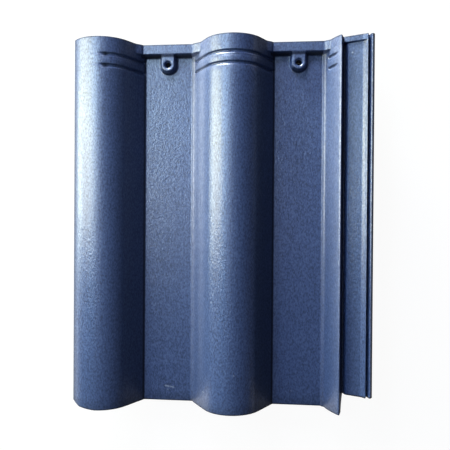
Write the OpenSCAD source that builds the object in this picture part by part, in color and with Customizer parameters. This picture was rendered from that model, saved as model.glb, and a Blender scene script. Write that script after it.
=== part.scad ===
// Interlocking concrete roof tile with two rolls, pressed and cut as one piece.
// +Y is the head (upslope end), -Y the tail, +X the interlocking channel side, +Z up.
// The section is drawn with x across the tile and y for height, zero at the pans' top face.

/* [Tile] */
// Length from tail to head
tile_l = 420; // [340:5:480]
// Distance between the axes of neighbouring rolls, half the covering width
roll_pitch = 152.3; // [144:0.1:166]
// Thickness of the flat pans
pan_t = 10.5; // [8:0.5:14]

/* [Rolls] */
// Height of a roll's crest above the pans
crown_h = 44.5; // [40:0.5:50]
// Radius of the crown
crown_r = 35.7; // [33:0.1:38]
// Thickness of the rolls' wall
roll_t = 10; // [8:0.5:11]
// Slope of a roll's channel-side flank from the horizontal, in degrees
flank_right = 59.5; // [56:0.5:66]
// Slope of a roll's other flank, in degrees
flank_left = 56.5; // [54:0.5:64]
// Height of the small step along a roll's left foot
step_h = 2.6; // [1:0.2:5]
// Width of that step from the pan to the flank
step_w = 3.6; // [2:0.2:6]
// Distance from the left roll's axis to the tile's left edge
wing_w = 29.7; // [26:0.1:31]
// Radius of the covering wing at the left edge
wing_r = 37.3; // [36:0.1:60]
// Width of the lip that hangs from the wing's edge
lip_w = 8; // [5:0.5:12]
// How far the lip's outer face leans in towards its foot
lip_draft = 1.8; // [1.2:0.1:3]
// Air left between the lip and the neighbour's channel
lip_gap = 1; // [0.5:0.1:2]

/* [Channel side] */
// Width of the riser from its foot to its cut edge
riser_w = 18.2; // [15:0.2:21]
// Height of the riser's cut edge above the pans
riser_h = 30.7; // [28:0.1:36]
// Bulge of the riser's slope beyond a straight line
riser_bow = 0.8; // [0:0.1:2]
// Width from the cut edge to the tile's right edge
lock_w = 35.5; // [33:0.1:42]
// Width of the gutter beside the riser
gutter_w = 7.2; // [6:0.1:9]
// Depth of the gutter below the shelf
gutter_d = 5; // [3:0.5:6]
// Height of the shelf above the pans, where it starts
shelf_h = 20.5; // [18:0.5:22]
// Upward slope of the shelf, in degrees
shelf_slope = 23.5; // [20:0.5:24]
// Thickness of the shelf
shelf_t = 9.5; // [8:0.5:11]
// Length that the shelf stops short of the tail
lock_setback = 20.8; // [10:0.2:40]
// Distance from the weather rib's foot to the tile's right edge
rib_inset = 11.9; // [11:0.1:14]
// Width of each tread of the rib and of the groove beside it
rib_w = 2.3; // [1.5:0.1:2.6]
// Height of the weather rib above the shelf
rib_h = 2.2; // [1:0.1:2.6]
// Height of the small step at the rib's foot
rib_step_h = 0.8; // [0.3:0.1:1.2]
// Depth of the groove beside the rib
groove_depth = 3; // [1:0.1:4]
// Width of the bevel along the right edge
bevel_w = 2.6; // [1:0.1:3]
// Drop of that bevel
bevel_h = 3.2; // [1:0.1:5]
// Width of the dam that closes the shelf at the head, as high as the rib
dam_w = 7; // [4:0.5:10]
// Width of the gutter's stub that runs on to the tail
stub_w = 4.8; // [3:0.1:5.4]
// How much that stub narrows towards the tail
stub_taper = 2; // [0:0.1:2.8]

/* [Head] */
// Height of the bar across each pan at the head
bar_h = 9.1; // [6:0.1:11]
// Width of the bar's top along the tile
bar_w = 11.3; // [8:0.1:15]
// Run of the bar's sloping tail-side face
bar_draft = 1.9; // [0.5:0.1:4]
// Height of the steps at the rolls' feet above the bar
raised_h = 1.6; // [0.5:0.1:4]
// How far those steps' faces lean back on their way up past the bar
raised_lean = 2.4; // [0.5:0.1:4]
// Rise of those steps' treads before they meet the flank
raised_rise = 4.5; // [1:0.1:6]
// Distance from the head to the first groove across the rolls
score_inset = 18; // [15:0.1:22]
// Distance between the two grooves
score_pitch = 12.5; // [8:0.1:20]
// Width of a groove along the tile
score_w = 5; // [2:0.1:6]
// Depth of a groove
score_d = 2.2; // [0.5:0.1:3]
// Angle from the left roll's crest at which its grooves start, in degrees
score_start = 15; // [0:1:30]

/* [Nailing] */
// Diameter of a nail hole
nail_d = 6.5; // [4:0.5:8]
// Diameter of the hole's funnel at the top
mouth_d = 9.5; // [8.5:0.5:11]
// Depth of the funnel
mouth_depth = 2.5; // [1:0.5:5]
// Distance from the head to the nail holes
nail_inset = 23.3; // [22:0.1:30]
// Radius of the boss around a hole, at its top
boss_r = 7.7; // [6.2:0.1:9]
// How much wider the boss is at the pan
boss_draft = 2.6; // [1:0.1:4]
// Height of the boss
boss_h = 8.2; // [5:0.1:9]

/* [Underside] */
// Depth of the nibs and nose ribs below the pans
nib_h = 12.5; // [8:0.5:18]
// Width of a nib across the tile
nib_w = 40; // [20:1:50]
// Length of a nib along the tile
nib_l = 15; // [10:0.5:16]
// Length of a nose rib along the tile
nose_l = 13; // [8:0.5:20]
// Taper of the nibs and nose ribs towards their foot
nib_draft = 1.5; // [0.5:0.1:2.5]
// Gap between a nose rib's end and the inside of a roll
nose_gap = 3; // [2:0.5:8]

/* [Clipped tail corner] */
// Length cut off across the tile
clip_x = 10; // [4:0.5:20]
// Length cut off along the tile
clip_y = 7; // [3:0.5:16]

/* [Hidden] */

// Largest turn between neighbouring points of an arc, in degrees
arc_step = 3;
// Overlap that fuses two shapes, and overrun of a cut past a face
lap = 2;
// Draft of the little step at a foot, and of the gutter's and grooves' walls
wall_draft = 0.8;
// Rise of the little step's tread towards the flank
tread_rise = 0.7;
ledge_h = step_h + tread_rise;
// How far a boss's neck stands back from its top's rim on each side
neck_inset = 0.3;
// Where the riser's grooves start and end, as shares of its slope
riser_score_span = [0.14, 0.68];
tile_colour = [0.18, 0.24, 0.41];

pan_z = pan_t + nib_h;
crown_z = crown_h - crown_r;
wing_z = crown_h - wing_r;
tile_w = wing_w + 2 * roll_pitch - foot_left() + riser_w + lock_w;
left_edge = -tile_w / 2;
right_edge = tile_w / 2;
head_y = tile_l / 2;
tail_y = -tile_l / 2;

axis_left = left_edge + wing_w;
axis_mid = axis_left + roll_pitch;
axis_lock = axis_mid + roll_pitch;

riser_foot = axis_lock - foot_left();
cut_x = riser_foot + riser_w;
shelf_x = cut_x + gutter_w;
gutter_z = shelf_h - gutter_d;
rib_x = right_edge - rib_inset;

// Each pan runs from one roll's right foot to the next one's left foot.
pan_starts = [axis_left + foot_right(), axis_mid + foot_right()];
pan_w = roll_pitch - foot_left() - foot_right();
pan_mids = [for (x = pan_starts) x + pan_w / 2];

// Points of an arc, with angles measured from straight up towards +x.
function arc(x, y, r, from, to) =
    let (n = ceil(abs(to - from) / arc_step))
    [for (i = [0:n]) let (a = from + (to - from) * i / n) [x + r * sin(a), y + r * cos(a)]];

// Points of a line from p to q that bulges to its left by sag at its middle.
function bow(p, q, sag) =
    let (n = 8, d = q - p, side = [-d.y, d.x] / norm(d))
    [for (i = [0:n]) let (t = i / n) p + d * t + side * sag * 4 * t * (1 - t)];

// Distance from a roll's axis to its flank at height y, t under the outer face.
function flank_x(slope, y, t) =
    (crown_r - t) * sin(slope) + (crown_z + (crown_r - t) * cos(slope) - y) / tan(slope);

function foot_right() = flank_x(flank_right, 0, 0);
function foot_left() = flank_x(flank_left, ledge_h, 0) + step_w;

// Height of the shelf's plane.
function shelf_y(x) = shelf_h + (x - shelf_x) * tan(shelf_slope);

// The two points of the step at the foot of a left flank.
function step_points(x) = [
    [x, 0],
    [x + wall_draft, step_h],
];

function left_roll_top() = concat(
    arc(axis_left, wing_z, wing_r, -asin(wing_w / wing_r), 0),
    arc(axis_left, crown_z, crown_r, arc_step, flank_right),
    [[axis_left + foot_right(), 0]]
);

function middle_roll_top() = concat(
    step_points(axis_mid - foot_left()),
    [[axis_mid - foot_left() + step_w, ledge_h]],
    arc(axis_mid, crown_z, crown_r, -flank_left, flank_right),
    [[axis_mid + foot_right(), 0]]
);

function riser_top() = concat(
    step_points(riser_foot),
    bow([riser_foot + step_w, ledge_h], [cut_x, riser_h], riser_bow)
);

function channel_top() = [
    [shelf_x - gutter_w / 2, gutter_z],
    [shelf_x - 2 * wall_draft, gutter_z],
    [shelf_x, shelf_h],
    [rib_x, shelf_y(rib_x)],
    [rib_x + wall_draft, shelf_y(rib_x) + rib_step_h],
    [rib_x + rib_w, shelf_y(rib_x + rib_w) + rib_step_h],
    [rib_x + rib_w + wall_draft, shelf_y(rib_x + rib_w) + rib_h],
    [rib_x + 2 * rib_w, shelf_y(rib_x + 2 * rib_w) + rib_h],
    [rib_x + 2 * rib_w + wall_draft, shelf_y(rib_x + rib_w) - groove_depth],
    [rib_x + 3 * rib_w, shelf_y(rib_x + rib_w) - groove_depth],
    [rib_x + 3 * rib_w + wall_draft, shelf_y(rib_x + 3 * rib_w)],
    [right_edge - bevel_w, shelf_y(right_edge - bevel_w)],
    [right_edge, shelf_y(right_edge - bevel_w) - bevel_h],
];

// Underside from right to left.
function underside() = concat(
    [[right_edge, shelf_y(right_edge) - shelf_t]],
    [[cut_x, shelf_y(cut_x) - shelf_t]],
    [[riser_inner_foot(), -pan_t]],
    hollow(axis_mid, -flank_left),
    [[axis_mid - flank_x(flank_left, -pan_t, roll_t), -pan_t]],
    hollow(axis_left, arc_step),
    wing_underside()
);

// Where the riser's inner face, roll_t behind its slope, meets the pans' underside.
function riser_inner_foot() =
    let (a = atan2(riser_h - ledge_h, riser_w - step_w))
    riser_foot + step_w + roll_t / sin(a) - (ledge_h + pan_t) / tan(a);

// Inner outline of a roll, from its right foot over its crown to the angle given.
function hollow(x, to) = concat(
    [[x + flank_x(flank_right, -pan_t, roll_t), -pan_t]],
    arc(x, crown_z, crown_r - roll_t, flank_right, to)
);

// The wing's inner face and its hanging lip, which clears the neighbour's shelf.
function wing_underside() =
    let (r = wing_r - roll_t, x = left_edge + lip_w, cover = 2 * roll_pitch)
    concat(
        arc(axis_left, wing_z, r, 0, -asin((wing_w - lip_w) / r)),
        [[x, shelf_y(x + cover) + lip_gap]],
        [[left_edge + lip_draft, shelf_y(left_edge + lip_draft + cover) + lip_gap]]
    );

// Extrudes a section along the tile, between two places on its length.
module along(from, to) {
    translate([0, to, 0])
        rotate([90, 0, 0])
            linear_extrude(to - from)
                children();
}

module section() {
    polygon(concat(
        left_roll_top(),
        middle_roll_top(),
        riser_top(),
        channel_top(),
        underside()
    ));
}

// The bar across the head of one pan, run into the raised steps at both ends.
module head_bar(x) {
    run = lap + raised_lean;
    translate([x - run, 0, 0])
        rotate([90, 0, 90])
            linear_extrude(pan_w + 2 * run)
                polygon([
                    [head_y - bar_w - bar_draft, -lap],
                    [head_y - bar_w - bar_draft, 0],
                    [head_y - bar_w, bar_h],
                    [head_y, bar_h],
                    [head_y, -lap],
                ]);
}

// The step at a roll's foot beside the head bar, which runs up past it into the flank.
module raised_step(axis, side, foot, slope) {
    top = bar_h + raised_h;
    end = top + raised_rise;
    along(head_y - bar_w - bar_draft, head_y)
        polygon([
            [axis + side * foot, 0],
            [axis + side * (foot - raised_lean), top],
            [axis + side * flank_x(slope, end, 0), end],
            [axis + side * flank_x(slope, 0, roll_t / 2), 0],
        ]);
}

// A boss around a nail hole, joined to the head bar by a neck.
module nail_boss(x) {
    neck = boss_r - neck_inset;
    translate([x, head_y - nail_inset, -lap])
        cylinder(h = lap, r = boss_r + boss_draft, $fn = 64);
    translate([x, head_y - nail_inset, 0])
        cylinder(h = boss_h, r1 = boss_r + boss_draft, r2 = boss_r, $fn = 64);
    along(head_y - nail_inset, head_y - bar_w)
        polygon([
            [x - neck - boss_draft, 0],
            [x - neck, boss_h],
            [x + neck, boss_h],
            [x + neck + boss_draft, 0],
        ]);
}

module nail_hole(x) {
    translate([x, head_y - nail_inset, -pan_t - lap])
        cylinder(h = pan_t + boss_h + 2 * lap, d = nail_d, $fn = 64);
    translate([x, head_y - nail_inset, boss_h - mouth_depth])
        cylinder(h = mouth_depth, d1 = nail_d, d2 = mouth_d, $fn = 64);
    translate([x, head_y - nail_inset, boss_h])
        cylinder(h = lap, d = mouth_d, $fn = 64);
}

// A block under a pan that narrows downwards, by draft on its tail side.
module foot_block(x, from, to, width, draft) {
    translate([x, 0, 0])
        rotate([90, 0, 90])
            translate([0, 0, -width / 2])
                linear_extrude(width)
                    polygon([
                        [from, lap - pan_t],
                        [from, -pan_t],
                        [from + draft, -pan_t - nib_h],
                        [to - nib_draft, -pan_t - nib_h],
                        [to, -pan_t],
                        [to, lap - pan_t],
                    ]);
}

// A nib hooks over the roof batten, so its tail side is upright.
module nib(x) {
    foot_block(x, head_y - nib_l, head_y, nib_w, 0);
}

// A nose rib rests on the tile of the course below.
module nose_rib(x) {
    foot_block(x, tail_y, tail_y + nose_l, pan_w - 2 * nose_gap, nib_draft);
}

// The dam across the shelf and gutter at the head, flush with the weather rib.
module dam() {
    near = cut_x - lap;
    far = rib_x + 2 * rib_w;
    along(head_y - dam_w, head_y)
        polygon([
            [near, gutter_z - lap],
            [near, shelf_y(near) + rib_h],
            [far, shelf_y(far) + rib_h],
            [far, shelf_y(far) - lap],
            [shelf_x, gutter_z - lap],
        ]);
}

// The band that a groove takes out of a roll, from an angle on its crown to its right foot.
module score_band(x, from) {
    polygon(concat(
        arc(x, crown_z, crown_r + lap, from, flank_right),
        [[x + flank_x(flank_right, step_h, -lap), step_h]],
        [[x + flank_x(flank_right, step_h, score_d), step_h]],
        arc(x, crown_z, crown_r - score_d, flank_right, from)
    ));
}

// The short band on the riser's slope, which stays clear of its foot and its cut edge.
module riser_score() {
    foot = [riser_foot + step_w, ledge_h];
    rise = [cut_x, riser_h] - foot;
    side = [-rise.y, rise.x] / norm(rise);
    low = foot + rise * riser_score_span[0];
    high = foot + rise * riser_score_span[1];
    polygon([
        low - side * (score_d - riser_bow),
        low + side * (lap + riser_bow),
        high + side * (lap + riser_bow),
        high - side * (score_d - riser_bow),
    ]);
}

// The two grooves across the rolls near the head.
module scores() {
    for (i = [0:1]) {
        to = head_y - score_inset - i * score_pitch;
        along(to - score_w, to) {
            score_band(axis_left, score_start);
            score_band(axis_mid, -flank_left);
            riser_score();
        }
    }
}

// The stretch at the tail where the channel side is left out, but for the gutter's stub.
module tail_notch() {
    notch_y = tail_y + lock_setback;
    far = right_edge + lap;
    translate([0, 0, -pan_t])
        linear_extrude(crown_h + pan_t)
            polygon([
                [cut_x + stub_w, notch_y],
                [cut_x + stub_w - stub_taper, tail_y],
                [cut_x + stub_w - stub_taper, tail_y - lap],
                [far, tail_y - lap],
                [far, notch_y],
            ]);
}

// The lip stops short of the neighbour's dam at the head.
module lip_notch() {
    inner = left_edge + lip_w + lap;
    top = shelf_y(inner + 2 * roll_pitch) + rib_h + lip_gap;
    translate([left_edge - lap, head_y - dam_w - lip_gap, 0])
        cube([lip_w + 2 * lap, dam_w + lip_gap + lap, top]);
}

module clipped_corner() {
    translate([left_edge, tail_y, 0])
        linear_extrude(crown_h + lap)
            polygon([[-lap, clip_y + lap], [-lap, -lap], [clip_x + lap, -lap], [clip_x, 0], [0, clip_y]]);
}

module roof_tile() {
    color(tile_colour)
        translate([0, 0, pan_z])
            difference() {
                union() {
                    along(tail_y, head_y) section();
                    for (x = pan_starts) head_bar(x);
                    for (x = pan_mids) nail_boss(x);
                    for (x = [axis_left, axis_mid]) raised_step(x, 1, foot_right(), flank_right);
                    for (x = [axis_mid, axis_lock]) raised_step(x, -1, foot_left(), flank_left);
                    for (x = pan_mids) nib(x);
                    for (x = pan_mids) nose_rib(x);
                    dam();
                }
                for (x = pan_mids) nail_hole(x);
                scores();
                tail_notch();
                lip_notch();
                clipped_corner();
            }
}

roof_tile();
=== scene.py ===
# %% [markdown]
# # An interlocking concrete roof tile
# A roof tile of this kind is pressed from stiff concrete in one stroke, cut to
# length at both ends and sprayed with a dark blue acrylic coating. It is one
# solid piece: two round rolls shed the water into two flat pans, bars at the
# head stop it from being blown back, and a low channel along the right side
# slips under the wing of the next tile. This lesson gives that single piece its
# soft arrises and its coating, and lights it on a plain floor.

# %% Load the frame
import math

import bpy
import numpy as np
from mathutils import Matrix, Vector


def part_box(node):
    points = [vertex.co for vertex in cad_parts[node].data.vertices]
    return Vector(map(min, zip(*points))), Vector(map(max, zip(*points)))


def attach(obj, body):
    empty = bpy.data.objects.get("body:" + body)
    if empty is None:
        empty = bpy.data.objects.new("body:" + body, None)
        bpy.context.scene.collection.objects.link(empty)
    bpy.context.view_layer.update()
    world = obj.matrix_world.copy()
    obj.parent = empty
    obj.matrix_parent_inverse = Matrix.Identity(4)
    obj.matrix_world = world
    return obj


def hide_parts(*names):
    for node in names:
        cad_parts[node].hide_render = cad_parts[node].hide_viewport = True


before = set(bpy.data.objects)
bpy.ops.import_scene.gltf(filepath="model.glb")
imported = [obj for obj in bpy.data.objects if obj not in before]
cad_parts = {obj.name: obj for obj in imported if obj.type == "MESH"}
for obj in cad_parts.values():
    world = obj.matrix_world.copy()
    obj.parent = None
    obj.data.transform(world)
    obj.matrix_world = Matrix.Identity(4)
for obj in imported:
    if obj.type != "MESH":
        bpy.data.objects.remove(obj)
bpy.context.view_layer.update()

# %% [markdown]
# ## Sizes
# The sizes are those of the construction, in millimetres. Heights are measured
# from the top of the flat pans, and the tile's middle is at x = 0, y = 0, with
# the head towards +y and the channel side towards +x.

# %% Sizes
LOW, HIGH = (np.array(corner) * 1000 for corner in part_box("roof_tile"))
LEFT, RIGHT = LOW[0], HIGH[0]
TAIL, HEAD = LOW[1], HIGH[1]

# The wall under the pans, the nibs below it, and the rolls at their covering pitch.
PAN_T, NIB_H = 10.5, 12.5
PAN_Z = PAN_T + NIB_H
PITCH = 152.3
CROWN_H, CROWN_R, ROLL_T = 44.5, 35.7, 10.0
FLANK_RIGHT, FLANK_LEFT = math.radians(59.5), math.radians(56.5)

# The step at each left foot, and the covering wing with its hanging lip.
STEP_H, STEP_W, TREAD_RISE, WALL_DRAFT = 2.6, 3.6, 0.7, 0.8
LEDGE_H = STEP_H + TREAD_RISE
WING_W, WING_R, LIP_W, LIP_DRAFT, LIP_GAP = 29.7, 37.3, 8.0, 1.8, 1.0

# The channel side: riser, gutter, sloping shelf, rib, groove and dam.
RISER_W, RISER_H, RISER_BOW, NOSE_W, NOSE_DROP = 18.2, 30.7, 1.4, 2.4, 1.2
GUTTER_W, GUTTER_D = 7.2, 5.0
SHELF_H, SHELF_SLOPE, SHELF_T = 20.5, math.radians(23.5), 9.5
LOCK_SETBACK = 20.8
RIB_INSET, RIB_W, RIB_H, RIB_STEP_H, GROOVE_DEPTH = 11.9, 2.3, 2.2, 0.8, 3.0
BEVEL_W, BEVEL_H = 2.6, 3.2
DAM_W, STUB_W, STUB_TAPER = 7.0, 4.8, 2.0

# The head: bars, raised steps, scored grooves, nail holes and their bosses.
BAR_H, BAR_W, BAR_DRAFT = 9.1, 11.3, 1.9
RAISED_H, RAISED_LEAN, RAISED_RISE = 1.6, 2.4, 4.5
SCORE_INSET, SCORE_PITCH, SCORE_W, SCORE_D = 18.0, 12.5, 5.0, 2.2
SCORE_START, RISER_SPAN = math.radians(15), (0.14, 0.68)
NAIL_R, MOUTH_R, MOUTH_DEPTH, NAIL_INSET = 3.25, 4.75, 2.5, 23.3
BOSS_R, BOSS_DRAFT, BOSS_H, NECK_INSET = 7.7, 2.6, 8.2, 0.3

# The underside's nibs and nose ribs, and the clipped corner at the tail.
NIB_W, NIB_L, NOSE_L, NIB_DRAFT, NOSE_GAP = 40.0, 15.0, 13.0, 1.5, 3.0
CLIP_X, CLIP_Y = 10.0, 7.0

CROWN_Z = CROWN_H - CROWN_R
WING_Z = CROWN_H - WING_R
print("pans lie", PAN_Z, "mm above the floor, crowns", PAN_Z + CROWN_H)


# %% Places worked out from the sizes
def flank_x(slope, height):
    """Distance from a roll's axis to its flank: the crown's tangent point, then a straight line down."""
    return CROWN_R * math.sin(slope) + (CROWN_Z + CROWN_R * math.cos(slope) - height) / math.tan(slope)


FOOT_RIGHT = flank_x(FLANK_RIGHT, 0)
FOOT_LEFT = flank_x(FLANK_LEFT, LEDGE_H) + STEP_W
AXIS_LEFT = LEFT + WING_W
AXIS_MID = AXIS_LEFT + PITCH
RISER_FOOT = AXIS_MID + PITCH - FOOT_LEFT
CUT_X = RISER_FOOT + RISER_W
SHELF_X = CUT_X + GUTTER_W
NOTCH_X = CUT_X + STUB_W
NOTCH_Y = TAIL + LOCK_SETBACK
RIB_X = RIGHT - RIB_INSET
PAN_STARTS = [AXIS_LEFT + FOOT_RIGHT, AXIS_MID + FOOT_RIGHT]
PAN_W = PITCH - FOOT_LEFT - FOOT_RIGHT
PAN_MIDS = [x + PAN_W / 2 for x in PAN_STARTS]
NAIL_Y = HEAD - NAIL_INSET

print("axes of the rolls:", round(AXIS_LEFT, 2), round(AXIS_MID, 2), "cut edge:", round(CUT_X, 2))
print("pans from", [round(x, 2) for x in PAN_STARTS], "each", round(PAN_W, 2), "wide")

# %% [markdown]
# ## The section as a function of x
# A pressed tile has no undercut: every point of its top face is seen from
# straight above, and every point of its underside from straight below. So each
# face is a height over the plan, and the whole tile is two functions of x and y.
# The section comes first: a roll is an arc with two straight flanks, and the
# channel side is a line through a few corners.


# %% Rolls, wing and steps
def roll(dx, inset=0.0):
    """Height of a roll at a distance from its axis: the lower of the crown's circle and its two tangents."""
    r = CROWN_R - inset
    right_x, left_x = r * math.sin(FLANK_RIGHT), -r * math.sin(FLANK_LEFT)
    right_z, left_z = CROWN_Z + r * math.cos(FLANK_RIGHT), CROWN_Z + r * math.cos(FLANK_LEFT)
    crown = CROWN_Z + np.sqrt(np.maximum(r * r - dx * dx, 0))
    right = right_z - (dx - right_x) * math.tan(FLANK_RIGHT)
    left = left_z - (left_x - dx) * math.tan(FLANK_LEFT)
    return np.where(dx > right_x, right, np.where(dx < left_x, left, crown))


def wing(dx, inset=0.0):
    """Height of the covering wing: a flatter arc that leaves the left roll's crest."""
    r = WING_R - inset
    return WING_Z + np.sqrt(np.maximum(r * r - dx * dx, 0))


def foot_step(away, height):
    """The little step at a left foot, from its toe inwards: a steep face worn round, then a narrow tread."""
    places = np.array([0, 0.22, 0.44, 0.62, 1]) * STEP_W
    rise = np.array([0, 0.55, 0.92, 1.02]) * height
    return np.interp(away, places, [*rise, height + TREAD_RISE], left=0, right=0)


print("a roll is", round(FOOT_RIGHT + FOOT_LEFT, 2), "mm wide at its feet")


# %% The channel side
def shelf(x):
    """Height of the shelf's sloping plane."""
    return SHELF_H + (x - SHELF_X) * math.tan(SHELF_SLOPE)


def channel_corners():
    """Corners of the channel side, from the riser's foot over its worn cut edge to the right edge."""
    t = np.linspace(0, 1, 33)
    foot, edge = np.array([RISER_FOOT + STEP_W, LEDGE_H]), np.array([CUT_X, RISER_H])
    rise = edge - foot
    side = np.array([-rise[1], rise[0]]) / np.hypot(*rise)
    slope = foot + t[:, None] * rise + RISER_BOW * 4 * (t * (1 - t))[:, None] * side
    slope[:, 1] -= NOSE_DROP * (np.maximum(slope[:, 0] - CUT_X + NOSE_W, 0) / NOSE_W) ** 2
    toe = np.linspace(0, 1, 12, endpoint=False) * STEP_W
    tread = [RIB_X + n * RIB_W for n in range(4)]
    rest = [
        (SHELF_X - GUTTER_W / 2, SHELF_H - GUTTER_D),
        (SHELF_X - 2 * WALL_DRAFT, SHELF_H - GUTTER_D),
        (SHELF_X, SHELF_H),
        (RIB_X, shelf(RIB_X)),
        (RIB_X + WALL_DRAFT, shelf(RIB_X) + RIB_STEP_H),
        (tread[1], shelf(tread[1]) + RIB_STEP_H),
        (tread[1] + WALL_DRAFT, shelf(tread[1]) + RIB_H),
        (tread[2], shelf(tread[2]) + RIB_H),
        (tread[2] + WALL_DRAFT, shelf(tread[1]) - GROOVE_DEPTH),
        (tread[3], shelf(tread[1]) - GROOVE_DEPTH),
        (tread[3] + WALL_DRAFT, shelf(tread[3])),
        (RIGHT - BEVEL_W, shelf(RIGHT - BEVEL_W)),
        (RIGHT, shelf(RIGHT - BEVEL_W) - BEVEL_H),
    ]
    return np.vstack([np.stack([RISER_FOOT + toe, foot_step(toe, STEP_H)], axis=1), slope, rest])


CHANNEL = channel_corners()
print("the channel side has", len(CHANNEL), "corners from", CHANNEL[0].round(1), "to", CHANNEL[-1].round(1))


# %% The whole section, above and below
def section_top(x):
    """Top of the section: the highest of pans, rolls and steps, and the channel beyond the riser's foot."""
    from_left, from_mid = x - AXIS_LEFT, x - AXIS_MID
    left_roll = np.where(from_left < 0, wing(from_left), roll(from_left))
    rolls = np.maximum(left_roll, roll(from_mid))
    rolls = np.maximum(rolls, foot_step(x - (AXIS_MID - FOOT_LEFT), STEP_H))
    channel = np.interp(x, CHANNEL[:, 0], CHANNEL[:, 1])
    return np.where(x > RISER_FOOT, channel, np.maximum(rolls, 0))


def section_under(x):
    """Underside of the section: the rolls' hollows, the wing's hanging lip and the shelf's lower face."""
    from_left, from_mid = x - AXIS_LEFT, x - AXIS_MID
    left_hollow = np.where(from_left < 0, wing(from_left, ROLL_T), roll(from_left, ROLL_T))
    lip = shelf(x + 2 * PITCH) + LIP_GAP
    left_hollow = np.where(x < LEFT + LIP_W, lip, left_hollow)
    hollows = np.maximum(np.maximum(left_hollow, roll(from_mid, ROLL_T)), -PAN_T)
    a = math.atan2(RISER_H - LEDGE_H, RISER_W - STEP_W)
    inner_foot = RISER_FOOT + STEP_W + ROLL_T / math.sin(a) - (LEDGE_H + PAN_T) / math.tan(a)
    lower = [-PAN_T, shelf(CUT_X) - SHELF_T, shelf(RIGHT) - SHELF_T]
    channel = np.interp(x, [inner_foot, CUT_X, RIGHT], lower)
    return np.where(x > AXIS_MID + FOOT_RIGHT, channel, hollows)


probe = np.array([LEFT, AXIS_LEFT, 0.0, AXIS_MID, PAN_MIDS[1], CUT_X, RIGHT])
print("section top at", probe.round(1), "is", section_top(probe).round(2))
print("section underside there is", section_under(probe).round(2))

# %% [markdown]
# ## What the press adds along the tile
# At the head the press raises a bar across each pan, a boss around each nail
# hole and a dam across the channel, and it scores two grooves across the rolls.
# Each is another height over the plan, joined to the section by taking the
# higher or the lower of the two.


# %% Bars, bosses and dam
def raised_step(reach, foot, slope):
    """A step at a roll's foot: a leaning face up, then a tread to the flank; reach is taken from the axis."""
    top = BAR_H + RAISED_H
    end = top + RAISED_RISE
    places = [-foot, RAISED_LEAN - foot, -flank_x(slope, end)]
    return np.interp(-reach, places, [0, top, end], left=0, right=0)


def bars(x, y):
    """Bars across the pans between the raised steps: flat on top, with a sloping face towards the tail."""
    z = np.zeros_like(x)
    for start in PAN_STARTS:
        from_left, from_right = x - (start - FOOT_RIGHT), start + PAN_W + FOOT_LEFT - x
        z = np.where((x > start - RAISED_LEAN) & (x < start + PAN_W + RAISED_LEAN), BAR_H, z)
        z = np.maximum(z, raised_step(from_left, FOOT_RIGHT, FLANK_RIGHT))
        z = np.maximum(z, raised_step(from_right, FOOT_LEFT, FLANK_LEFT))
    return z * np.interp(y, [HEAD - BAR_W - BAR_DRAFT, HEAD - BAR_W], [0, 1])


def bosses(x, y):
    """A cone around each nail hole, drawn out towards the bar, with a funnel sunk in its top."""
    z = np.zeros_like(x)
    for mid in PAN_MIDS:
        across, along = x - mid, y - NAIL_Y
        reach = np.where(along > 0, np.abs(across) + NECK_INSET, np.hypot(across, along))
        boss = np.interp(reach, [BOSS_R, BOSS_R + BOSS_DRAFT], [BOSS_H, 0])
        boss = np.where(y > HEAD - BAR_W, 0, boss)
        funnel = np.interp(np.hypot(across, along), [NAIL_R, MOUTH_R], [MOUTH_DEPTH, 0])
        z = np.maximum(z, boss - funnel)
    return z


def dam(x, y):
    """The dam across the shelf at the head, parallel to the shelf and as high as the rib."""
    inside = (y > HEAD - DAM_W) & (x > CUT_X) & (x < RIB_X + 2 * RIB_W)
    return np.where(inside, shelf(x) + RIB_H, -PAN_T)


print("bars", BAR_H, "mm high, bosses", BOSS_H, "mm")

# %% [markdown]
# ## Grooves scored by a tool
# The two grooves are scored into the fresh concrete and not pressed, so they are
# rough: the head side is steep, the tail side is a gentle ramp, and the concrete
# beyond it is dragged into a shallow dip. On the left roll each groove starts in
# a torn hollow, and a thin burr runs on past it.

# %% Grooves
DIP = 0.16
DEEPEST = 2.2
SCORE_X = AXIS_LEFT + CROWN_R * math.sin(SCORE_START)


def below_groove(y, n):
    """Distance from the head side of groove n towards the tail."""
    return HEAD - SCORE_INSET - n * SCORE_PITCH - y


def score_profile(y):
    """Share of full depth along a groove: a steep head side, a flat floor, a ramp and a shallow dip."""
    depth = np.zeros_like(y)
    for n in range(2):
        v = below_groove(y, n)
        depth = np.maximum(depth, np.interp(v, [0, 0.5, 1.6, SCORE_W - 0.4], [0, 1, 0.95, 0]))
        dip = np.interp(v, np.array([-0.4, -0.1, 0.6, 2.4]) + SCORE_W, [0, DIP, DIP, 0])
        depth = np.maximum(depth, dip)
    return depth


def score_reach(x):
    """Share of full depth across the tile: whole on the rolls, short on the riser, none on the wing."""
    left_end, step_end, mid_end = AXIS_LEFT + FOOT_RIGHT, AXIS_MID - FOOT_LEFT + STEP_W, AXIS_MID + FOOT_RIGHT
    left = np.interp(x, [SCORE_X, SCORE_X + 0.5, left_end - 1, left_end], [0, 1, 1, 0])
    mid = np.interp(x, [step_end, step_end + 1.5, mid_end - 1, mid_end], [0, 1, 1, 0])
    low, high = (RISER_FOOT + STEP_W + share * (RISER_W - STEP_W) for share in RISER_SPAN)
    riser = np.interp(x, [low, low + 0.6, high - 0.6, high], [0, 1, 1, 0])
    return np.maximum(np.maximum(left, mid), riser)


def scored(x, y, z):
    """Lowers a height into the grooves; the depth is measured square to the slope, up to a limit."""
    steep = np.abs(section_top(x + 0.4) - section_top(x - 0.4)) / 0.8
    return z - SCORE_D * np.minimum(np.hypot(1, steep), DEEPEST) * score_profile(y) * score_reach(x)


print("grooves start at x =", round(SCORE_X, 2), "and reach", SCORE_D, "mm deep")

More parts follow.
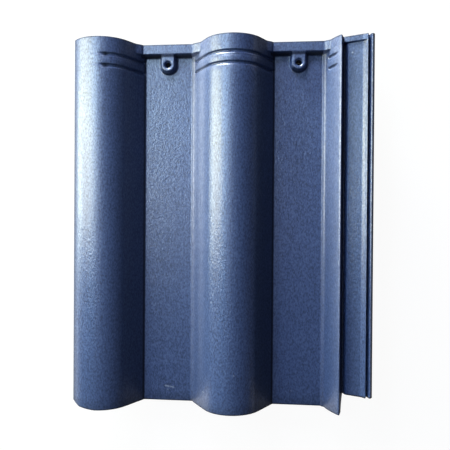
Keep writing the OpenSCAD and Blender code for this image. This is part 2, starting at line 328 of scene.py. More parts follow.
# %% Burrs, torn hollows and a worn step
BURR_L, BURR_H, BURR_DIP = 16.6, 0.2, 0.12
PIT_D, PIT_ACROSS, PIT_ALONG = 1.8, 1.9, 2.2
PITS = [(SCORE_X + 1.5 - 0.4 * n, HEAD - SCORE_INSET - n * SCORE_PITCH - 1.8) for n in range(2)]
RUN_OUT_L, RUN_OUT_W = 3.8, 2.6


def burr(x, y):
    """The thin ridge and dip dragged up beyond each groove's start: two bell curves across it."""
    share = np.interp(x, [SCORE_X - BURR_L, SCORE_X - BURR_L + 1, SCORE_X - 1, SCORE_X], [0, 1, 1, 0])
    height = np.zeros_like(y)
    for n in range(2):
        v = below_groove(y, n)
        height += BURR_H * np.exp(-((v - 2.7) / 0.75) ** 2) - BURR_DIP * np.exp(-((v - 0.9) / 0.8) ** 2)
    return height * share


def torn(x, y):
    """Depth of the torn hollow at the start of each groove: a bell curve across and along."""
    return sum(PIT_D * np.exp(-((x - px) / PIT_ACROSS) ** 2 - ((y - py) / PIT_ALONG) ** 2) for px, py in PITS)


def run_out(x, y):
    """Shifts x so that the middle roll's foot step dies out over the last few millimetres."""
    foot, end = AXIS_MID - FOOT_LEFT, AXIS_MID - FOOT_LEFT + STEP_W + 1
    bend = RUN_OUT_W * np.clip((TAIL + RUN_OUT_L - y) / RUN_OUT_L, 0, 1)
    return x - bend * np.clip((end - x) / (end - foot - bend), 0, 1) * (x > foot - 5)


print("torn hollows at", [tuple(round(v, 1) for v in pit) for pit in PITS])


# %% Both faces with sharp arrises
def sharp_top(x, y):
    """The whole top face with sharp arrises."""
    z = scored(x, y, section_top(run_out(x, y))) + burr(x, y) - torn(x, y)
    return np.maximum(np.maximum(z, bars(x, y)), np.maximum(bosses(x, y), dam(x, y)))


def blocks_under(x, y):
    """Depth of the nibs and nose ribs below the pans."""
    depth = np.zeros_like(x)
    nose_w = PAN_W - 2 * NOSE_GAP
    for mid in PAN_MIDS:
        nib = np.interp(y, [HEAD - NIB_L - 0.3, HEAD - NIB_L, HEAD - NIB_DRAFT, HEAD], [0, 1, 1, 0.05])
        nose_ends = [TAIL, TAIL + NIB_DRAFT, TAIL + NOSE_L - NIB_DRAFT, TAIL + NOSE_L]
        nose = np.interp(y, nose_ends, [0.05, 1, 1, 0])
        depth = np.maximum(depth, nib * (np.abs(x - mid) < NIB_W / 2))
        depth = np.maximum(depth, nose * (np.abs(x - mid) < nose_w / 2))
    return NIB_H * depth


def sharp_under(x, y):
    """The whole underside with sharp arrises; the lip stops short of the neighbour's dam."""
    z = section_under(x)
    lip_end = shelf(LEFT + LIP_W + 2 * PITCH) + RIB_H + LIP_GAP
    notch = (x < LEFT + LIP_W) & (y > HEAD - DAM_W - LIP_GAP)
    z = np.where(notch, np.maximum(z, lip_end), z)
    return z - blocks_under(x, y)


print("boss top at", round(float(sharp_top(np.array(PAN_MIDS[0] + 5.5), np.array(NAIL_Y))), 2), "mm")

# %% [markdown]
# ## A plan grid that follows the details
# A grid of equal squares would need millions of faces to show a one-millimetre
# arris. Here the lines crowd where the shape turns quickly and spread out over
# the plain stretches: the spacing grows with the distance to the nearest detail.
# Near a nail hole the square rings of the grid are bent into circles, and at
# the clipped corner the lines are squeezed to follow the cut.


# %% The plan grid
FINE, GROWTH, COARSE = 0.6, 0.23, 4.6
ARRIS = 0.9
FIT_POINTS = 40001


def grid_lines(low, high, spans, exact):
    """Lines whose spacing grows with distance from the spans, then moved onto the exact places."""
    x = np.linspace(low, high, FIT_POINTS)
    away = np.min([np.maximum(np.maximum(a - x, x - b), 0) for a, b in spans], axis=0)
    density = 1 / np.minimum(FINE + GROWTH * away, COARSE)
    count = np.concatenate([[0], np.cumsum((density[1:] + density[:-1]) / 2 * np.diff(x))])
    lines = np.interp(np.linspace(0, count[-1], int(np.ceil(count[-1])) + 1), count, x)
    for place in exact:
        lines[np.argmin(np.abs(lines - place))] = place
    return np.unique(lines)


print("spacing from", FINE, "to", COARSE, "mm")

# %% Lines of the grid
arris_lines = np.array([0, 0.06, 0.2, 0.5, 1]) * ARRIS
boss_reach = BOSS_R + BOSS_DRAFT

x_spans = [(LEFT, LEFT + 1), (LEFT + LIP_W, LEFT + LIP_W), (RIGHT - 1, RIGHT)]
x_spans += [(x - RAISED_LEAN - 0.3, x + 0.3) for x in PAN_STARTS]
x_spans += [(x - 0.5, x + STEP_W + 0.5) for x in (AXIS_MID - FOOT_LEFT, RISER_FOOT)]
x_spans += [(CUT_X - 2, SHELF_X + 0.5), (RIB_X - 0.5, RIB_X + 3 * RIB_W + 1)]
x_spans += [(x - boss_reach, x + boss_reach) for x in PAN_MIDS]
x_exact = [x + s * r for x in PAN_MIDS for s in (-1, 1) for r in (NAIL_R, MOUTH_R)]
x_exact += list(LEFT + arris_lines) + list(RIGHT - arris_lines) + [NOTCH_X, CUT_X, CUT_X - 0.5]
y_spans = [(TAIL, TAIL + 1), (NOTCH_Y - 0.5, NOTCH_Y + 1.5), (TAIL + NOSE_L, TAIL + NOSE_L)]
y_spans += [(NAIL_Y - boss_reach - 0.5, HEAD)]
y_exact = [NAIL_Y + s * r for s in (-1, 1) for r in (NAIL_R, MOUTH_R)]
y_exact += list(TAIL + arris_lines) + list(HEAD - arris_lines) + list(NOTCH_Y + arris_lines)

x_lines = grid_lines(LEFT, RIGHT, x_spans, x_exact)
y_lines = grid_lines(TAIL, HEAD, y_spans, y_exact)
grid_x, grid_y = np.meshgrid(x_lines, y_lines, indexing="ij")
print("grid", len(x_lines), "by", len(y_lines), "=", len(x_lines) * len(y_lines), "points")


# %% Bend the grid
WORN, WORN_L = 0.11, 8


def round_rings(x, y):
    """Turns the square rings around each nail hole into circles, less and less towards the ring's edge."""
    for mid in PAN_MIDS:
        dx, dy = x - mid, y - NAIL_Y
        square = np.maximum(np.abs(dx), np.abs(dy))
        circle = np.maximum(np.hypot(dx, dy), 1e-9)
        bend = np.interp(square, [MOUTH_R + 0.5, boss_reach + 3], [1, 0])
        factor = 1 + bend * (square / circle - 1)
        x, y = mid + dx * factor, NAIL_Y + dy * factor
    return x, y


def squeeze_corner(x, y):
    """Moves the left edge inwards along the clipped corner, and the worn tail edge beside it up."""
    cut = CLIP_X * np.clip(1 - (y - TAIL) / CLIP_Y, 0, 1)
    share = np.clip((AXIS_LEFT - x) / WING_W, 0, 1)
    new_x = x + cut * share
    worn = WORN * np.clip(AXIS_LEFT - new_x, 0, WING_W - CLIP_X) * np.clip(1 - (y - TAIL) / WORN_L, 0, 1)
    return new_x, y + worn


def taper_stub(x, y):
    """Draws the stub's edge towards the riser on its way to the tail; the riser's cut edge stays straight."""
    taper = STUB_TAPER * np.clip((NOTCH_Y - y) / LOCK_SETBACK, 0, 1)
    return x - taper * np.clip((x - CUT_X) / STUB_W, 0, 1), y


plan_x, plan_y = taper_stub(*squeeze_corner(*round_rings(grid_x, grid_y)))
mid_x = (grid_x[1:, 1:] + grid_x[:-1, :-1]) / 2
mid_y = (grid_y[1:, 1:] + grid_y[:-1, :-1]) / 2
solid = ~((mid_x > NOTCH_X) & (mid_y < NOTCH_Y))
for mid in PAN_MIDS:
    solid &= np.maximum(np.abs(mid_x - mid), np.abs(mid_y - NAIL_Y)) > NAIL_R
print("cells kept:", int(solid.sum()), "of", solid.size)

# %% [markdown]
# ## Soft arrises
# Pressed concrete has no knife edges: each arris is worn round by the mould, by
# handling and by the coat of paint. The sharp height is averaged over a small
# patch around each point, which rounds corners inside and out by the same
# amount. Along the tile's outline the face also drops by a quarter circle.

# %% Softening and the outline
SOFT = 0.34
WEIGHTS = np.array([1, 4, 6, 4, 1]) / 16


def softened(height, x, y):
    """Weighted mean of a height over five by five places around each point."""
    total = np.zeros_like(x)
    for i, wx in enumerate(WEIGHTS):
        for j, wy in enumerate(WEIGHTS):
            total += wx * wy * height(x + (i - 2) * SOFT, y + (j - 2) * SOFT)
    return total


def edge_distance(x, y):
    """Distance inwards from the tile's outline: the least of its distances to each side."""
    tail = TAIL + WORN * np.clip(AXIS_LEFT - x, 0, WING_W - CLIP_X)
    sides = np.minimum(np.minimum(x - LEFT, RIGHT - x), np.minimum(y - tail, HEAD - y))
    taper = STUB_TAPER * np.clip((NOTCH_Y - y) / LOCK_SETBACK, 0, 1)
    notch = np.hypot(np.maximum(NOTCH_X - taper - x, 0), np.maximum(y - NOTCH_Y, 0))
    up = WORN * (WING_W - CLIP_X)
    clip = (x - LEFT) / CLIP_X + (y - TAIL - up) / (CLIP_Y - 0.9 * up) - 1
    clip = clip / math.hypot(1 / CLIP_X, 1 / CLIP_Y)
    return np.maximum(np.minimum(np.minimum(sides, notch), clip), 0)


def quarter_drop(distance, radius):
    """How far a quarter circle of that radius lies below the face."""
    inside = np.clip(radius - distance, 0, radius)
    return radius - np.sqrt(radius * radius - inside * inside)


def waves(x, y, length, seed, amount):
    """A few crossing sine waves of about one length, which never rise above zero."""
    rng = np.random.default_rng(seed)
    total = np.zeros_like(x)
    draws = zip(rng.uniform(0, math.pi, 7), rng.uniform(0, 6.3, 7), rng.uniform(0.7, 1.4, 7))
    for angle, phase, stretch in draws:
        k = 2 * math.pi / (length * stretch)
        total += np.sin(k * (x * math.cos(angle) + y * math.sin(angle)) + phase)
    return amount * (total / 7 - 1)


inward = edge_distance(plan_x, plan_y)
print("softened over", round(4 * SOFT, 2), "mm; arrises round over", ARRIS, "mm")

# %% The two faces
LONG_WAVE, LONG_SWELL = 46, 0.10
SHORT_WAVE, SHORT_SWELL = 17, 0.04
UNDER_DROP = 0.6

top = softened(sharp_top, plan_x, plan_y)
top += waves(plan_x, plan_y, LONG_WAVE, 3, LONG_SWELL) + waves(plan_x, plan_y, SHORT_WAVE, 5, SHORT_SWELL)
top -= quarter_drop(inward, ARRIS)
under_x = plan_x + LIP_DRAFT * np.clip(1 - (plan_x - LEFT) / LIP_W, 0, 1)
under = softened(sharp_under, under_x, plan_y)
under += UNDER_DROP * quarter_drop(inward, ARRIS)
under = np.maximum(under, -PAN_Z)
print("top from", round(float(top.min()), 2), "to", round(float(top.max()), 2), "mm above the pans")

# %% [markdown]
# ## One closed mesh
# The two faces are the same grid lifted to two heights. Every grid edge with a
# kept cell on one side only gets a wall between the faces, which closes the
# ends, the sides, the clipped corner and the nail holes alike.


# %% Edges of the kept cells
# Each side of a cell: the step to the neighbour, and the side's two corners in turn.
CELL_SIDES = [
    ((0, -1), (0, 0), (1, 0)),
    ((1, 0), (1, 0), (1, 1)),
    ((0, 1), (1, 1), (0, 1)),
    ((-1, 0), (0, 1), (0, 0)),
]


def rim_edges(solid, index):
    """Edges with a kept cell on one side only, as pairs of points with that cell on their left."""
    padded = np.pad(solid, 1)
    here = padded[1:-1, 1:-1]
    sides = []
    for step, a, b in CELL_SIDES:
        beyond = padded[1 + step[0]:padded.shape[0] - 1 + step[0], 1 + step[1]:padded.shape[1] - 1 + step[1]]
        i, j = np.nonzero(here & ~beyond)
        sides.append(np.stack([index[i + a[0], j + a[1]], index[i + b[0], j + b[1]]], axis=1))
    return np.concatenate(sides)


print("edges of the outline:", len(rim_edges(solid, np.arange(plan_x.size).reshape(plan_x.shape))))

# %% Points and quads
WALL_ROWS = 5


def closed_shell(x, under_x, y, top, under, solid):
    """Points and quads of both faces and the walls between them; quads run anticlockwise from outside."""
    count = x.size
    index = np.arange(count).reshape(x.shape)
    i, j = np.nonzero(solid)
    face = np.stack([index[i, j], index[i + 1, j], index[i + 1, j + 1], index[i, j + 1]], axis=1)
    edges = rim_edges(solid, index)
    ring, place = np.unique(edges, return_inverse=True)
    place = place.reshape(edges.shape)
    points = [np.stack(face_xyz, axis=-1).reshape(-1, 3) for face_xyz in ([x, y, top], [under_x, y, under])]
    rows = [ring]
    for n in range(1, WALL_ROWS):
        rows.append(2 * count + (n - 1) * len(ring) + np.arange(len(ring)))
        points.append(points[0][ring] + (points[1][ring] - points[0][ring]) * n / WALL_ROWS)
    rows.append(ring + count)
    start, end = place[:, 0], place[:, 1]
    walls = [np.stack([a[end], a[start], b[start], b[end]], axis=1) for a, b in zip(rows, rows[1:])]
    faces = np.concatenate([face, face[:, ::-1] + count] + walls)
    used, faces = np.unique(faces, return_inverse=True)
    faces = faces.reshape(-1, 4)
    points = np.concatenate(points)[used]
    points[:, 2] += PAN_Z
    return points, faces, used


points, faces, used_points = closed_shell(plan_x, under_x, plan_y, top, under, solid)
face_points = plan_x.size
print("points:", len(points), "quads:", len(faces))

# %% Build the mesh
SHARP = math.radians(55)


def new_piece(name, points, faces):
    """A smooth piece from points in millimetres and quads; edges bent by more than a limit stay sharp."""
    mesh = bpy.data.meshes.new(name)
    mesh.vertices.add(len(points))
    mesh.vertices.foreach_set("co", (points / 1000).ravel())
    mesh.loops.add(faces.size)
    mesh.loops.foreach_set("vertex_index", faces.ravel().astype(np.int32))
    mesh.polygons.add(len(faces))
    mesh.polygons.foreach_set("loop_start", np.arange(0, faces.size, 4, dtype=np.int32))
    mesh.update(calc_edges=True)
    mesh.validate()
    mesh.polygons.foreach_set("use_smooth", np.ones(len(faces), dtype=bool))
    mesh.set_sharp_from_angle(angle=SHARP)
    piece = bpy.data.objects.new(name, mesh)
    bpy.context.scene.collection.objects.link(piece)
    return piece


tile = new_piece("coated_tile", points, faces)
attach(tile, "root")
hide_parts("roof_tile")
print("tile:", len(tile.data.vertices), "points,", 2 * len(tile.data.polygons), "triangles")

# %% [markdown]
# ## Where the coat is bare or dull, and where shade and light are painted
# A sprayed coat curls a few millimetres round onto the underside. Beside that,
# the colour carries painted shade and painted light that follow the shape: a
# dark line along the arrises, darker towards the left side and the tail, dark
# creases at the foot of each wall, dark faces that turn away from the lamps,
# and a pale painted highlight on the left flanks that face them. Where the
# shade is painted, the coat is also made duller. Each of these is a value
# worked out from the plan and kept on the mesh's points, where the material
# reads it by name:
# - coated: one where the spray reached, falling off under the tile;
# - rim: painted shade and a duller coat along the arrises, the left side, towards the tail and in the creases
#   at the foot of a wall;
# - dull_and_painted_shade: painted shade and a duller coat on the walls and on steep flanks that face right
#   or the tail;
# - painted_light: a painted highlight of up to one on the left flanks of the middle roll and the riser.
# How far the last three go is a judgement.


# %% Points of the two faces
above = used_points < face_points
below = (used_points >= face_points) & (used_points < 2 * face_points)
top_points, under_points = used_points[above], used_points[below] - face_points
top_x, top_y, top_inward = (values.ravel()[top_points] for values in (plan_x, plan_y, inward))


def keep(name, on_top, on_under, on_walls):
    """Keeps a value on each point of the mesh: an array or number for each face, one number for the walls."""
    values = np.full(len(used_points), on_walls, dtype=np.float32)
    values[above], values[below] = on_top, on_under
    layer = tile.data.attributes.new(name, "FLOAT", "POINT")
    layer.data.foreach_set("value", values)
    print(name, "is over a half on", int((values > 0.5).sum()), "of", len(values), "points")


OVERSPRAY = 3.0
keep("coated", 1, np.exp(-inward.ravel()[under_points] / OVERSPRAY), 1)


# %% Painted shade in the creases
FLANK_FADE, BAR_FADE, BOSS_FADE, PIT_FADE = 0.9, 1.5, 0.7, 1.5


def creases(x, y):
    """Painted shade in an inner corner: one there, falling off beside it, at the feet of flanks, bars and
    bosses, in the pits.
    """
    bar_foot = HEAD - BAR_W - BAR_DRAFT
    share = np.zeros_like(x)
    for start, mid in zip(PAN_STARTS, PAN_MIDS):
        on_pan = (x > start - 4) & (x < start + PAN_W) & (y < HEAD - BAR_W)
        flank = np.clip(1.6 - np.abs(x - start + 0.6) / FLANK_FADE, 0, 1)
        bar = np.clip(1.5 - np.abs(y - bar_foot) / BAR_FADE, 0, 1)
        reach = np.where(y > NAIL_Y, np.abs(x - mid), np.hypot(x - mid, y - NAIL_Y))
        boss = 0.8 * np.clip(1.6 - np.abs(reach - boss_reach + 0.4) / BOSS_FADE, 0, 1) * (x > mid - BOSS_R)
        share = np.maximum(share, on_pan * np.maximum(np.maximum(flank, bar), boss))
    for px, py in PITS:
        pit = np.clip(2 - np.hypot((x - px) / 0.9, (y - py) / 1.1) / PIT_FADE, 0, 1)
        share = np.maximum(share, pit)
    return share


crease_shade_share = creases(top_x, top_y)
print("creases cover", int((crease_shade_share > 0.5).sum()), "points")

# %% Painted shade along the edges, the left side and the tail
# Painted shade with a duller coat: a dark line along the arrises, darker towards the left side and towards
# the tail, and the painted shade of the creases.
EDGE_SHADE_W, SIDE_SHADE_W, TAIL_SHADE_L = 1.1, 7, 14
arris_share = np.clip(1.6 - top_inward / EDGE_SHADE_W, 0, 1)
side_and_tail_shade = 0.55 * np.clip((LEFT + SIDE_SHADE_W - top_x) / 4, 0, 1)
side_and_tail_shade += 0.5 * np.clip((TAIL + TAIL_SHADE_L - top_y) / TAIL_SHADE_L, 0, 1)
keep("rim", np.maximum(np.maximum(arris_share, side_and_tail_shade), crease_shade_share), 0, 1)

# %% Painted shade and a duller coat on faces turned away from the lamps
# Steep faces that fall to the right or to the tail, the walls and the underside are darkened as painted shade
# and made duller; the shelf gets part of it.
SHELF_DULL_SHADE = 0.55
DULL_SHADE_FROM, DULL_SHADE_RANGE, TAIL_EASE = 0.35, 0.9, 0.3
falls_right = -np.gradient(top, axis=0) / np.gradient(plan_x, axis=0)
falls_to_tail = np.gradient(top, axis=1) / np.gradient(plan_y, axis=1)
steepness = np.maximum(falls_right, falls_to_tail - TAIL_EASE).ravel()[top_points]
on_shelf = (top_x > SHELF_X + 1) & (top_x < RIB_X - 1)
flank_dull_shade = np.clip((steepness - DULL_SHADE_FROM) / DULL_SHADE_RANGE, 0, 1)
keep("dull_and_painted_shade", np.maximum(flank_dull_shade, SHELF_DULL_SHADE * on_shelf), 1, 1)

# %% Painted light on the left flanks
# Each pair is a distance to the right of the foot and the strength of the painted highlight there.
ROLL_PAINTED_LIGHT = np.array([[-0.5, 0], [0.3, 1], [4.5, 0.9], [7.5, 0.3], [14, 1], [19, 0.4], [25, 0]])
roll_painted_light = ROLL_PAINTED_LIGHT + [AXIS_MID - FOOT_LEFT, 0]
riser_painted_light = [[RISER_FOOT - 0.5, 0], [RISER_FOOT + 0.3, 0.7], [RISER_FOOT + STEP_W, 0.5]]
riser_painted_light += [[RISER_FOOT + STEP_W + 1.5, 0.1], [CUT_X, 0.9], [CUT_X + 0.1, 0]]
painted_light_table = np.concatenate([roll_painted_light, riser_painted_light])
# The painted highlight is weak on the bars and grows towards the head, where the lamps stand.
painted_light_share = np.interp(top_x, painted_light_table[:, 0], painted_light_table[:, 1]) * np.where(top_y > HEAD - BAR_W, 0.25, 1)
painted_light_share *= np.interp(top_y, [TAIL, TAIL + 40, 40, HEAD], [0.1, 0.3, 0.9, 1])
keep("painted_light", painted_light_share, 0, 0)

# %% [markdown]
# ## The coating
# The coat is a dark blue semi-gloss acrylic, sprayed over sandy concrete from
# above, so the underside stays bare but for a fringe of overspray. It is given
# two layers, as on the real tile: a pigmented film that follows every sand
# grain and scatters light widely, and a smoother skin of binder over it, which
# carries the long streaks of light down the rolls. Both are bent by the same
# grain, an orange peel of two to three millimetres, drawn out a little along the
# tile. A scuff near the tail and a few pale specks come from handling.


# %% Node helpers
def add(tree, kind, inputs, **settings):
    """A new node: settings go on the node itself, and each input is linked to an output or set to a value."""
    node = tree.nodes.new(kind)
    for name, value in settings.items():
        setattr(node, name, value)
    for name, value in inputs.items():
        if isinstance(value, bpy.types.NodeSocket):
            tree.links.new(value, node.inputs[name])
        else:
            node.inputs[name].default_value = value
    return node


def maths(tree, operation, *values):
    """One sum, product, larger value or the like of two or three values."""
    return add(tree, "ShaderNodeMath", dict(enumerate(values)), operation=operation).outputs[0]


def mixed(tree, share, first, second):
    """A surface between two others by a share."""
    return add(tree, "ShaderNodeMixShader", {0: share, 1: first, 2: second}).outputs[0]


material = bpy.data.materials.new("painted_concrete")
material.use_nodes = True
coat = material.node_tree
coords = coat.nodes.new("ShaderNodeTexCoord").outputs["Object"]
drawn_out = add(coat, "ShaderNodeMapping", {"Vector": coords, "Scale": (1, 0.58, 1)}).outputs[0]
print("the material", material.name, "starts with", len(coat.nodes), "nodes")


# %% Pattern helpers
def noise(scale, detail, roughness=0.5):
    """A noise drawn out a little along y; its grains are about one over the scale, in metres."""
    inputs = {"Vector": drawn_out, "Scale": scale, "Detail": detail, "Roughness": roughness}
    return add(coat, "ShaderNodeTexNoise", inputs).outputs["Fac"]


def remap(value, low, high, to_low, to_high):
    """Maps a range of values to another and clamps it."""
    inputs = {"Value": value, "From Min": low, "From Max": high, "To Min": to_low, "To Max": to_high}
    return add(coat, "ShaderNodeMapRange", inputs).outputs["Result"]


def times(first, second):
    """The product of two values of the coat, such as two masks."""
    return maths(coat, "MULTIPLY", first, second)


def blend(share, first, second):
    """Mixes two colours by a share."""
    return add(coat, "ShaderNodeMix", {"Factor": share, 6: first, 7: second}, data_type="RGBA").outputs[2]


def kept(name):
    """A value kept on the mesh's points."""
    return add(coat, "ShaderNodeAttribute", {}, attribute_name=name).outputs["Fac"]


def arrow(operation, inputs):
    """One step of arithmetic with places seen as arrows."""
    return add(coat, "ShaderNodeVectorMath", inputs, operation=operation).outputs


def stroke(start, end, width):
    """Mask of a stroke seen in plan: one within its width of the line from start to end, in metres."""
    length = math.dist(start, end)
    across, along = end[0] - start[0], end[1] - start[1]
    from_start = arrow("MULTIPLY_ADD", {0: coords, 1: (1, 1, 0), 2: (-start[0], -start[1], 0)})[0]
    reach = arrow("DOT_PRODUCT", {0: from_start, 1: (across / length, along / length, 0)})["Value"]
    share = remap(reach, 0, length, 0, 1)
    foot = arrow("SCALE", {0: (across, along, 0), "Scale": share})[0]
    gap = arrow("DISTANCE", {0: from_start, 1: foot})["Value"]
    return remap(gap, 0.4 * width, width, 1, 0)


dull_and_painted_shade, rim = kept("dull_and_painted_shade"), kept("rim")
print("the coat reads", [node.attribute_name for node in coat.nodes if node.type == "ATTRIBUTE"])

# %% Scuffs and specks
# Start, end and width of each, in metres.
SCUFFS = [
    ((-0.0670, -0.1926), (-0.0565, -0.1942), 0.0009),
    ((-0.0672, -0.1924), (-0.0662, -0.1925), 0.0013),
]
SPECKS = [
    ((-0.0642, -0.1968), (-0.0636, -0.1974), 0.0008),
    ((0.0812, -0.1936), (0.0818, -0.1938), 0.0008),
    ((-0.0186, -0.1902), (-0.0182, -0.1905), 0.0009),
    ((0.0175, -0.1656), (0.0179, -0.1659), 0.0007),
    ((0.1454, 0.1914), (0.1457, 0.1916), 0.0011),
]

first_mark, *other_marks = [stroke(*ends) for ends in SCUFFS + SPECKS]
marks = first_mark
for mark in other_marks:
    marks = maths(coat, "MAXIMUM", marks, mark)
marks = times(marks, remap(noise(900, 2), 0.35, 0.6, 0.15, 1))
print(len(SCUFFS), "scuffs and", len(SPECKS), "specks")

# %% Colour
NAVY, NAVY_LIGHT = (0.033, 0.070, 0.196, 1), (0.040, 0.082, 0.224, 1)
HOLLOW_GRAIN, RAISED_GRAIN = (0.014, 0.028, 0.085, 1), (0.11, 0.18, 0.38, 1)
# Painted shade for faces turned away from the lamps, a painted highlight for the left flanks that face them,
# and painted shade for the edges and creases.
AWAY_SHADE_BLUE, PAINTED_LIGHT_COLOUR, EDGE_SHADE_BLUE = (0.009, 0.017, 0.05, 1), (0.30, 0.33, 0.48, 1), (0.004, 0.007, 0.018, 1)
PALE_MARK = (0.36, 0.40, 0.50, 1)
CONCRETE_DARK, CONCRETE_LIGHT = (0.20, 0.19, 0.175, 1), (0.33, 0.32, 0.30, 1)
AWAY_SHADE_SHARE, EDGE_SHADE_SHARE, GRAIN_IN_FILM = 0.6, 0.85, 0.6

grain, peel, speckle = noise(760, 2), noise(330, 2), noise(640, 1)
blue = blend(remap(noise(16, 3), 0.35, 0.65, 0, 1), NAVY, NAVY_LIGHT)
blue = blend(remap(speckle, 0.25, 0.5, 0.85, 0), blue, HOLLOW_GRAIN)
blue = blend(remap(speckle, 0.5, 0.75, 0, 0.5), blue, RAISED_GRAIN)
# Painted shade, painted highlight and the painted shade of the edges and creases go over the coat's own
# colour.
blue = blend(times(dull_and_painted_shade, AWAY_SHADE_SHARE), blue, AWAY_SHADE_BLUE)
blue = blend(times(kept("painted_light"), remap(noise(260, 2), 0.35, 0.65, 0.4, 0.75)), blue, PAINTED_LIGHT_COLOUR)
blue = blend(times(rim, EDGE_SHADE_SHARE), blue, EDGE_SHADE_BLUE)
blue = blend(marks, blue, PALE_MARK)
concrete = blend(remap(noise(120, 4, 0.6), 0.3, 0.7, 0, 1), CONCRETE_DARK, CONCRETE_LIGHT)
film = remap(maths(coat, "ADD", kept("coated"), times(grain, GRAIN_IN_FILM)), 0.62, 0.95, 0, 1)
colour = blend(film, concrete, blue)
print("navy over grey concrete, with", len(coat.nodes), "nodes so far")

# %% Gloss and grain
PEEL_SHARE, GRAIN_HEIGHT = 0.8, 0.00026
FILM_ROUGHNESS, DULLED = 0.65, 0.1
FILM_IOR, COAT_IOR, COAT_ROUGHNESS = 1.56, 2.2, 0.29

bare = maths(coat, "SUBTRACT", 1, film)
dull = maths(coat, "MAXIMUM", bare, maths(coat, "MAXIMUM", dull_and_painted_shade, rim))
gloss = times(film, remap(speckle, 0.3, 0.7, 0.66, 1))
gloss = times(gloss, remap(rim, 0, 1, 1, DULLED))
gloss = times(gloss, remap(dull_and_painted_shade, 0, 1, 1, DULLED))
relief = maths(coat, "ADD", grain, times(peel, PEEL_SHARE))
bump = {"Height": relief, "Distance": GRAIN_HEIGHT, "Strength": 1.0}
normal = add(coat, "ShaderNodeBump", bump).outputs["Normal"]

shader = coat.nodes["Principled BSDF"]
shader.inputs["IOR"].default_value = FILM_IOR
shader.inputs["Coat IOR"].default_value = COAT_IOR
shader.inputs["Coat Roughness"].default_value = COAT_ROUGHNESS
coat.links.new(colour, shader.inputs["Base Color"])
coat.links.new(remap(dull, 0, 1, FILM_ROUGHNESS, 1), shader.inputs["Roughness"])
coat.links.new(gloss, shader.inputs["Coat Weight"])
coat.links.new(normal, shader.inputs["Normal"])
coat.links.new(normal, shader.inputs["Coat Normal"])
tile.data.materials.append(material)
print("the coating has", len(coat.nodes), "nodes")

# %% [markdown]
# ## Floor
# The tile lies on its nibs and nose ribs on a plain pale floor. The floor looks
# nearly white because it glows a little, but only for rays that show it; rays
# that merely carry light to the tile meet an ordinary grey floor, so the glow
# doesn't bleach the tile. Under each nail hole the floor doesn't glow, which
# stands for the shadow that the tile casts there. Seen from below, the floor is
# clear, so that the underside can be looked at.

# %% Floor
HALF_SIDE, FLOOR_Z = 6, -0.0002
corners = [(-1, -1), (1, -1), (1, 1), (-1, 1)]
floor_mesh = bpy.data.meshes.new("floor")
floor_mesh.from_pydata([(x * HALF_SIDE, y * HALF_SIDE, FLOOR_Z) for x, y in corners], [], [(0, 1, 2, 3)])
floor = bpy.data.objects.new("floor", floor_mesh)
bpy.context.scene.collection.objects.link(floor)
print("floor of", 2 * HALF_SIDE, "m, with its top at", FLOOR_Z, "m")


# %% The floor's material
FLOOR_GLOW = 0.95
SPOT_FADE = 110


def shadow_spot(tree, centre):
    """Mask of a round spot: two minus the distance to its centre times a fade, kept between 0 and 1."""
    here = tree.nodes.new("ShaderNodeTexCoord").outputs["Object"]
    away = add(tree, "ShaderNodeVectorMath", {0: here, 1: centre}, operation="DISTANCE").outputs["Value"]
    spot = maths(tree, "SUBTRACT", 2, maths(tree, "MULTIPLY", away, SPOT_FADE))
    return maths(tree, "MINIMUM", maths(tree, "MAXIMUM", spot, 0), 1)


floor_material = bpy.data.materials.new("pale_floor")
floor_material.use_nodes = True
ground = floor_material.node_tree
pale = ground.nodes["Principled BSDF"]
pale.inputs["Base Color"].default_value = (0.7, 0.7, 0.7, 1)
pale.inputs["Roughness"].default_value = 0.9

spots = [shadow_spot(ground, (mid / 1000 * 1.05 - 0.003, NAIL_Y / 1000 + 0.008, 0)) for mid in PAN_MIDS]
lit = maths(ground, "SUBTRACT", 1, maths(ground, "MAXIMUM", *spots))
glow = add(ground, "ShaderNodeEmission", {"Strength": maths(ground, "MULTIPLY", lit, FLOOR_GLOW)}).outputs[0]
matt = add(ground, "ShaderNodeBsdfDiffuse", {"Color": (0.08, 0.08, 0.08, 1)}).outputs[0]
shown = add(ground, "ShaderNodeAddShader", {0: glow, 1: matt}).outputs[0]

ray = ground.nodes.new("ShaderNodeLightPath").outputs
seen = maths(ground, "MAXIMUM", ray["Is Camera Ray"], ray["Is Glossy Ray"])
seen = maths(ground, "MAXIMUM", seen, ray["Is Transmission Ray"])
clear = ground.nodes.new("ShaderNodeBsdfTransparent").outputs[0]
from_below = ground.nodes.new("ShaderNodeNewGeometry").outputs["Backfacing"]
surface = mixed(ground, from_below, mixed(ground, seen, pale.outputs[0], shown), clear)
ground.links.new(surface, ground.nodes["Material Output"].inputs["Surface"])
floor.data.materials.append(floor_material)
print("the floor's material has", len(ground.nodes), "nodes")

# %% [markdown]
# ## Light
# The light stands for a room with windows beyond the tile's left side and its
# head. The nearer a box stands, the more its streak moves from roll to roll, so
# the two that draw the streaks stand 0.6 m away, and a small warm one fills in
# nearer still. Two low boxes skim the surface, one higher beyond the head lights
# the pans and the tops of the bars, and large weak ones above stand for the sky.
# Most are tinted, towards the blue of the sky or the warmth of a room lamp. The
# camera doesn't see the boxes.


# %% Lights
def soft_box(name, turn, height, size, watts, colour, distance):
    """An area light aimed at the tile: turn runs from the left towards the head, height up from the floor."""
    data = bpy.data.lights.new(name, "AREA")
    data.shape = "RECTANGLE"
    data.size, data.size_y = size
    data.energy = watts
    data.color = colour
    lamp = bpy.data.objects.new(name, data)
    bpy.context.scene.collection.objects.link(lamp)
    around, up = math.radians(turn), math.radians(height)
    towards = Vector((-math.cos(around) * math.cos(up), math.sin(around) * math.cos(up), math.sin(up)))
    place = distance * towards
    aim = (-place).to_track_quat("-Z", "Y")
    lamp.visible_camera = False
    lamp.matrix_world = Matrix.Translation(place) @ aim.to_matrix().to_4x4()
    return lamp


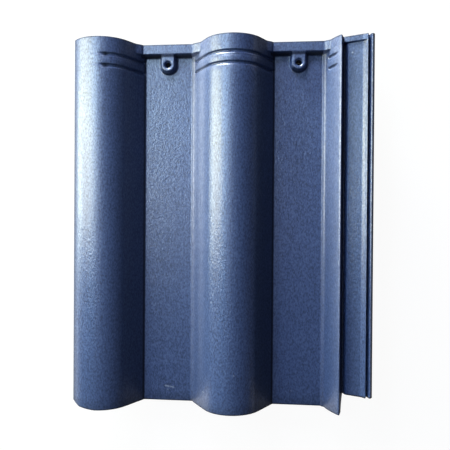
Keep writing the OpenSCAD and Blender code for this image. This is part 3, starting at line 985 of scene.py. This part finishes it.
lamps = [
    soft_box("low_head", 70, 6, (0.4, 0.4), 64, (0.9, 1.0, 0.9), 1.6),
    soft_box("head", 70, 32, (0.5, 0.5), 16, (0.75, 0.8, 1.0), 1.6),
    soft_box("window", 30, 28, (0.22, 0.45), 1.6, (0.95, 1.0, 0.75), 0.6),
    soft_box("window_high", 8, 38, (0.22, 0.45), 1.1, (0.95, 1.0, 0.95), 0.6),
    soft_box("lamp_left", 14, 26, (0.2, 0.4), 0.16, (1.0, 0.8, 0.0), 0.42),
    soft_box("low_left", 6, 8, (0.5, 0.36), 6.5, (0.85, 1.0, 0.95), 1.6),
    soft_box("sky_left", 18, 56, (0.9, 0.5), 2.4, (0.05, 0.45, 1.0), 1.6),
    soft_box("sky_head", 42, 60, (0.5, 0.36), 2.9, (0.6, 0.8, 1.0), 1.6),
    soft_box("top", 20, 75, (0.5, 0.5), 1.0, (0.65, 0.75, 1.0), 1.6),
]
print(len(lamps), "lamps,", round(sum(lamp.data.energy for lamp in lamps), 1), "W in all")

# %% The room
ROOM_LIGHT, BACKDROP, GLOSSY_SHARE = 0.03, 0.97, 0.03
world = bpy.data.worlds.new("room")
world.use_nodes = True
sky = world.node_tree
dim = sky.nodes["Background"]
dim.inputs["Color"].default_value = (0.9, 0.95, 1.0, 1)
dim.inputs["Strength"].default_value = ROOM_LIGHT
backdrop = add(sky, "ShaderNodeBackground", {"Color": (1, 1, 1, 1), "Strength": BACKDROP}).outputs[0]
ray = sky.nodes.new("ShaderNodeLightPath").outputs
seen = maths(sky, "MAXIMUM", ray["Is Camera Ray"], ray["Is Transmission Ray"])
seen = maths(sky, "MULTIPLY_ADD", ray["Is Glossy Ray"], GLOSSY_SHARE, seen)
sky.links.new(mixed(sky, seen, dim.outputs[0], backdrop), sky.nodes["World Output"].inputs["Surface"])
bpy.context.scene.world = world
print("room light", ROOM_LIGHT, "and a backdrop of", BACKDROP, "for what looks straight at it")

# %% [markdown]
# ## Camera
# The camera looks down from about 0.65 m. It stands a little to the right of the
# middle and looks back at it, so the left roll shows more of its right flank and
# the riser more of its left one.

# %% Camera
LENS, SENSOR = 43.036, 36
STAND = (0.06133, 0.003763, 0.653289)
LEAN, NOD, SPIN = (math.radians(degrees) for degrees in (5.294, -0.411, 0.386))

camera_data = bpy.data.cameras.new("camera")
camera_data.lens = LENS
camera_data.sensor_width = SENSOR
camera = bpy.data.objects.new("camera", camera_data)
bpy.context.scene.collection.objects.link(camera)
turn = Matrix.Rotation(LEAN, 4, "Y") @ Matrix.Rotation(NOD, 4, "X") @ Matrix.Rotation(SPIN, 4, "Z")
camera.matrix_world = Matrix.Translation(STAND) @ turn
bpy.context.scene.camera = camera
bpy.context.scene.view_settings.view_transform = "Standard"
print("camera", round(STAND[2], 3), "m up, with a lens of", LENS, "mm")
